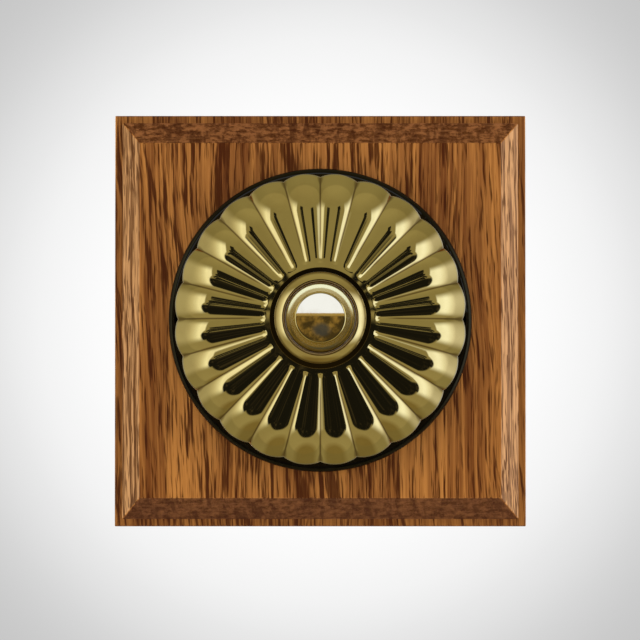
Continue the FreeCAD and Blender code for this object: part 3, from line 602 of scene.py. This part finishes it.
# Button: turned from the same bar. A skirt slides in the bush, then come a ring that rises a little, a small step
# and a low crown that is polished like a mirror. A blind hole below takes the peg of the plunger.
button_radius = 7.75 * mm
edge_round = 0.3 * mm
ring_flat = 6.6 * mm
ring_turn = 5.0 * mm
boss_radius = 5.85 * mm
boss_round = 0.5 * mm
crown_turn = 28.0 * mm
peg_room, peg_room_depth = 4.85 * mm, 6.1 * mm
button_proud, ring_rise, boss_height = 0.6 * mm, 0.18 * mm, 0.45 * mm
button_low = -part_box("button_cap")[1].y
peg_room_top = button_low + peg_room_depth
button_step = lip_top + button_proud + edge_round + ring_rise
button_rim = button_step + boss_height
crown_edge = (boss_radius - boss_round) / (1 - boss_round / crown_turn)
crown_tilt = math.degrees(math.asin(crown_edge / crown_turn))
crown_foot = button_rim + boss_round * math.cos(math.radians(crown_tilt))
flat_tilt = math.radians(1.2)
ring_level = button_step - (ring_flat - boss_radius) * math.tan(flat_tilt)
ring_reach = math.asin(
    (button_radius - edge_round - ring_flat + ring_turn * math.sin(flat_tilt)) / (ring_turn - edge_round))
round_level = ring_level - ring_turn * math.cos(flat_tilt) + (ring_turn - edge_round) * math.cos(ring_reach)
button_section = [
    (0, peg_room_top), (peg_room, peg_room_top), (peg_room, button_low), (button_radius, button_low),
    (button_radius, round_level - 0.1 * mm)]
button_section += round_off(
    button_radius - edge_round, round_level, edge_round, 0, 90 - math.degrees(ring_reach), 8)
button_section += round_off(
    ring_flat - ring_turn * math.sin(flat_tilt), ring_level - ring_turn * math.cos(flat_tilt), ring_turn,
    90 - math.degrees(ring_reach), 90 - math.degrees(flat_tilt), 14)[1:]
button_section += [(boss_radius, button_step), (boss_radius, button_rim - 0.03 * mm)]
button_section += round_off(boss_radius - boss_round, button_rim, boss_round, 0, 90 - crown_tilt, 14)
button_section += round_off(
    0, crown_foot - crown_turn * math.cos(math.radians(crown_tilt)), crown_turn, 90 - crown_tilt, 90, 30)[1:]
button = turn_up("button_top", button_section, 192)
button_brass, tree, shader, where, wear = metal(
    "button_brass", (0.89, 0.71, 0.32), (0.66, 0.47, 0.19), 0.4, 0.03, 0.07, 0.05)
# The ring round the boss keeps the marks of the lathe, so it is duller than the crown
place = split(tree, where.outputs["Object"])
out = from_axis(tree, place)
ring_gold, edge_brown = (0.86, 0.70, 0.17), (0.38, 0.22, 0.035)
ring = ease(tree, out, boss_radius, boss_radius + 0.1 * mm)
edge = ease(tree, out, button_radius - 0.35 * mm, button_radius - 0.15 * mm)
worn = stain(tree, sum_up(tree, "MULTIPLY", ring, 0.6), wear.outputs["Colour"], ring_gold)
worn = stain(tree, sum_up(tree, "MULTIPLY", edge, 0.85), worn, edge_brown)
lathe = sum_up(tree, "MULTIPLY_ADD", ring, 0.08, sum_up(tree, "MULTIPLY", edge, 0.22))
tree.links.new(worn, shader.inputs["Base Color"])
tree.links.new(sum_up(tree, "ADD", lathe, wear.outputs["Roughness"]), shader.inputs["Roughness"])
button.data.materials.append(button_brass)
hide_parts("button_cap")
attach(button, "button")


# Studio: a plain pale floor well below, and for the camera a white backdrop that dims a little away from the
# middle. The switch itself is lit by a surround that shows in its brass: soft boxes to the left and right, a dark
# room with bars between them and a window ahead. Four lamps, which the brass doesn't mirror, light the rest.
bpy.ops.object.select_all(action="DESELECT")
bpy.ops.mesh.primitive_circle_add(vertices=96, radius=1.5, fill_type="NGON", location=(0, 0, -0.6))
floor = bpy.context.object
floor.name = "floor"
pale, tree, shader, where = new_finish("pale_floor")
shader.inputs["Roughness"].default_value = 0.9
haze = cloud(tree, where.outputs["Object"], 3.0)
tree.links.new(stain(tree, haze, (0.78, 0.78, 0.78), (0.82, 0.82, 0.82)), shader.inputs["Base Color"])
floor.data.materials.append(pale)
floor.visible_glossy = False

world = bpy.data.worlds.new("studio")
bpy.context.scene.world = world
world.use_nodes = True
tree = world.node_tree
tree.nodes.clear()
toward = add_node(tree, "ShaderNodeTexCoord").outputs["Generated"]
part = split(tree, toward)
side = sum_up(tree, "ARCTAN2", part["X"], sum_up(tree, "MULTIPLY", part["Y"], -1.0))
to_degrees = 180 / math.pi
side = sum_up(tree, "MULTIPLY", side, to_degrees)
lift = sum_up(tree, "MULTIPLY", sum_up(tree, "ARCSINE", part["Z"]), to_degrees)


def panel(left, right, low, high, soft_side, soft_lift, bow=0.0):
    """A mask for part of the surround, in degrees to the right of the front and above the level."""
    across = sum_up(tree, "ADD", side, bow)
    sides = sum_up(tree, "MULTIPLY", ease(tree, across, left - soft_side, left + soft_side), ease(
        tree, across, right - soft_side, right + soft_side, 1.0, 0.0))
    lifts = sum_up(tree, "MULTIPLY", ease(tree, lift, low - soft_lift, low + soft_lift), ease(
        tree, lift, high - soft_lift, high + soft_lift, 1.0, 0.0))
    return sum_up(tree, "MULTIPLY", sides, lifts)


def bands(value, low, high, *stops, blend="LINEAR"):
    """A colour that changes along a value, by stops at places between its low and high end."""
    share = add_node(tree, "ShaderNodeMapRange", {"Value": value, "From Min": low, "From Max": high})
    ramp = add_node(tree, "ShaderNodeValToRGB", {"Fac": share.outputs["Result"]})
    ramp.color_ramp.interpolation = blend
    spots = ramp.color_ramp.elements
    while len(spots) < len(stops):
        spots.new(0.5)
    for stop, (spot, colour) in zip(spots, stops):
        stop.position = (spot - low) / (high - low)
        stop.color = (*colour, 1.0)
    return ramp.outputs["Color"]


left_edge, right_edge = -51, 54
surround = bands(
    lift, -90, 90, (-70, (0.205, 0.164, 0.066)), (-57, (0.320, 0.289, 0.163)), (20, (0.265, 0.240, 0.128)),
    (40, (0.262, 0.238, 0.127)), (70, (0.320, 0.292, 0.162)))
left_box = bands(
    side, -180, 0, (-130, (0.35, 0.33, 0.21)), (-100, (0.39, 0.37, 0.26)), (-88, (0.45, 0.43, 0.31)),
    (-80, (0.53, 0.51, 0.38)), (-72, (0.65, 0.64, 0.51)), (-64, (0.80, 0.82, 0.72)), (-56, (1.02, 1.07, 1.00)),
    (left_edge, (0.98, 1.02, 0.98)))
right_box = bands(
    side, 0, 180, (right_edge, (0.98, 1.07, 1.18)), (66, (1.08, 1.19, 1.36)), (72, (1.05, 1.15, 1.30)),
    (80, (0.93, 1.00, 1.05)), (88, (0.78, 0.80, 0.80)), (96, (0.57, 0.57, 0.53)), (104, (0.45, 0.44, 0.37)),
    (120, (0.371, 0.36, 0.292)), (150, (0.30, 0.28, 0.18)))
blotches = cloud(tree, toward, 5.0, detail=4.0, roughness=0.65)
# The dark room is a rounded oblong, wider at its foot, and a band that reaches the soft boxes
room_middle, room_drop, room_half_height, roundness = 2.0, 11, 38, 2.4
room_half_width = ease(tree, lift, -16, 3, 45, 26)
wide = sum_up(tree, "DIVIDE", sum_up(tree, "ABSOLUTE", sum_up(
    tree, "SUBTRACT", side, room_middle)), room_half_width)
tall = sum_up(tree, "ABSOLUTE", sum_up(
    tree, "MULTIPLY_ADD", lift, 1 / room_half_height, room_drop / room_half_height))
room = ease(tree, sum_up(tree, "ADD", sum_up(tree, "POWER", wide, roundness), sum_up(
    tree, "POWER", tall, roundness)), 0.84, 1.12, 1.0, 0.0)
room = sum_up(tree, "MAXIMUM", room, panel(left_edge, right_edge, -26, 1, 2, 3))


def bar(turn, first, last, wide):
    """A dark bar on both sides of the front, at right angles to a direction that is turned up from the level."""
    sine, cosine = math.sin(math.radians(turn)), math.cos(math.radians(turn))
    view_rise = 1.6
    sides = sum_up(tree, "ABSOLUTE", side)
    lifts = sum_up(tree, "ADD", lift, view_rise)
    along = sum_up(tree, "MULTIPLY_ADD", sides, sine, sum_up(tree, "MULTIPLY", lifts, -cosine))
    outward = sum_up(tree, "MULTIPLY_ADD", sides, cosine, sum_up(tree, "MULTIPLY", lifts, sine))
    length = sum_up(tree, "MULTIPLY", ease(tree, along, first - 1, first + 1), ease(
        tree, along, last - 1, last + 1, 1.0, 0.0))
    width = sum_up(tree, "MULTIPLY", ease(tree, outward, 27.2 - wide, 28.2 - wide), ease(
        tree, outward, 28.5 + wide, 31.0 + wide, 1.0, 0.0))
    return sum_up(tree, "MULTIPLY", length, width)


for turn, first, last, wide in (
        (37.5, 10, 20, 0.9), (52.5, 9.5, 27, 1.1), (67.5, 13, 24, 1.6), (82.5, 15, 25, 2.4), (97.5, 22, 33, 2.6)):
    room = sum_up(tree, "MAXIMUM", room, bar(turn, first, last, wide))
room_black, room_brown = (0.009, 0.009, 0.008), (0.070, 0.058, 0.035)
wall_behind = (0.170, 0.155, 0.078)
desk_brown, desk_gold = (0.060, 0.046, 0.022), (0.34, 0.235, 0.080)
sill_gold = (0.42, 0.33, 0.15)
lens_grey = (0.060, 0.066, 0.090)
window_light = (1.00, 1.24, 2.50)
dark = stain(tree, ease(tree, blotches, 0.50, 0.80), room_black, room_brown)
surround = stain(tree, room, surround, dark)
# The soft boxes' inner edges bow away from the front, above and below
away = sum_up(tree, "MULTIPLY_ADD", lift, 1 / 16, room_drop / 16)
bow = sum_up(tree, "MINIMUM", sum_up(tree, "MULTIPLY", sum_up(tree, "MULTIPLY", away, away), 5.0), 9.0)
behind = ease(tree, part["Y"], -0.06, 0.06, 0.0, 0.40)
surround = stain(tree, behind, surround, wall_behind)
left_bow = sum_up(tree, "MULTIPLY", bow, -1.0)
surround = stain(tree, panel(-200, left_edge, -22, 34, 2, 10, left_bow), surround, left_box)
surround = stain(tree, panel(right_edge, 200, -28, 30, 2, 10, bow), surround, right_box)


def distance(first, second):
    """How far two values together are from nought."""
    return sum_up(tree, "SQRT", sum_up(
        tree, "ADD", sum_up(tree, "POWER", first, 2.0), sum_up(tree, "POWER", second, 2.0)))


# What only the button and the bezel can mirror: a window ahead and above, a gold sill below it and a brown desk
ahead = ease(tree, distance(side, lift), 24.5, 26.5, 1.0, 0.0)
desk = stain(tree, ease(tree, blotches, 0.40, 0.66), desk_brown, desk_gold)
surround = stain(tree, sum_up(tree, "MULTIPLY", ahead, ease(tree, lift, 2.0, 4.0, 1.0, 0.0)), surround, desk)
surround = stain(tree, sum_up(tree, "MULTIPLY", ahead, ease(tree, lift, 2.2, 3.6)), surround, sill_gold)
lens_half_width, lens_half_height = 9, 6.5
lens = distance(
    sum_up(tree, "MULTIPLY_ADD", side, 1 / lens_half_width, -1 / lens_half_width),
    sum_up(tree, "MULTIPLY_ADD", lift, 1 / lens_half_height, 10 / lens_half_height))
surround = stain(tree, ease(tree, lens, 0.55, 1.30, 0.92, 0.0), surround, lens_grey)
surround = stain(tree, sum_up(tree, "MULTIPLY", ahead, ease(tree, lift, 5.2, 5.8)), surround, window_light)
# The white backdrop, by the tangent of the angle from the way the camera looks
camera_way = Vector((0.0, 0.99961, 0.02808))
straight = add_node(
    tree, "ShaderNodeVectorMath", {0: toward, 1: camera_way}, operation="DOT_PRODUCT").outputs["Value"]
sideways = sum_up(tree, "SQRT", sum_up(tree, "SUBTRACT", 1.0, sum_up(tree, "MULTIPLY", straight, straight)))
off_axis = sum_up(tree, "DIVIDE", sideways, sum_up(tree, "MAXIMUM", straight, 0.01))
backdrop_reach = 4.3218
backdrop_stops = (
    (0.10, 1.0), (0.215, 0.985), (0.28, 0.896), (0.32, 0.823), (0.38, 0.672), (0.45, 0.546), (0.70, 0.60),
    (1.0, 0.80))
backdrop = bands(
    sum_up(tree, "MULTIPLY", off_axis, backdrop_reach), 0, 1,
    *((spot, (level, level, level)) for spot, level in backdrop_stops), blend="B_SPLINE")
path = add_node(tree, "ShaderNodeLightPath")
eye = sum_up(tree, "MAXIMUM", path.outputs["Is Camera Ray"], path.outputs["Is Transmission Ray"])
eye = sum_up(tree, "MAXIMUM", eye, sum_up(
    tree, "MULTIPLY", path.outputs["Is Glossy Ray"], ease(tree, straight, 0.980, 0.992)))
seen = stain(tree, eye, surround, backdrop)
glow = add_node(tree, "ShaderNodeBackground", {"Color": seen, "Strength": 1.0})
add_node(tree, "ShaderNodeOutputWorld", {"Surface": glow.outputs[0]})


def hang_lamp(name, place, width, height, level):
    """An area lamp aimed at the switch. At a level of 1, a surface that faces it shows its colour as written."""
    lamp = bpy.data.lights.new(name, "AREA")
    lamp.shape = "RECTANGLE"
    lamp.size, lamp.size_y = width, height
    place = Vector(place)
    lamp.energy = level * math.pi ** 2 * place.length ** 2
    holder = bpy.data.objects.new(name, lamp)
    holder.location = place
    holder.rotation_euler = (-place).to_track_quat("-Z", "Y").to_euler()
    bpy.context.scene.collection.objects.link(holder)
    holder.visible_glossy = False


hang_lamp("left_lamp", (-1.30, -0.16, 0.05), 0.5, 0.9, 1.75)
hang_lamp("right_lamp", (1.30, -0.16, 0.05), 0.5, 0.9, 2.0)
hang_lamp("top_lamp", (0.0, -0.85, 0.95), 0.9, 0.6, 0.35)
hang_lamp("back_lamp", (-0.5, 1.1, 0.6), 0.9, 0.9, 0.55)

camera = bpy.data.objects.new("camera", bpy.data.cameras.new("camera"))
camera.location = (0.0, -1.0136, -0.0279)
camera_aim = Vector((-0.00007, -0.014, 0.0002))
camera.rotation_euler = (camera_aim - camera.location).to_track_quat("-Z", "Y").to_euler()
camera.data.lens = 243.1
camera.data.sensor_width = 36.0
camera.data.clip_start, camera.data.clip_end = 0.01, 50.0
bpy.context.scene.collection.objects.link(camera)
bpy.context.scene.camera = camera
bpy.context.scene.view_settings.view_transform = "Standard"
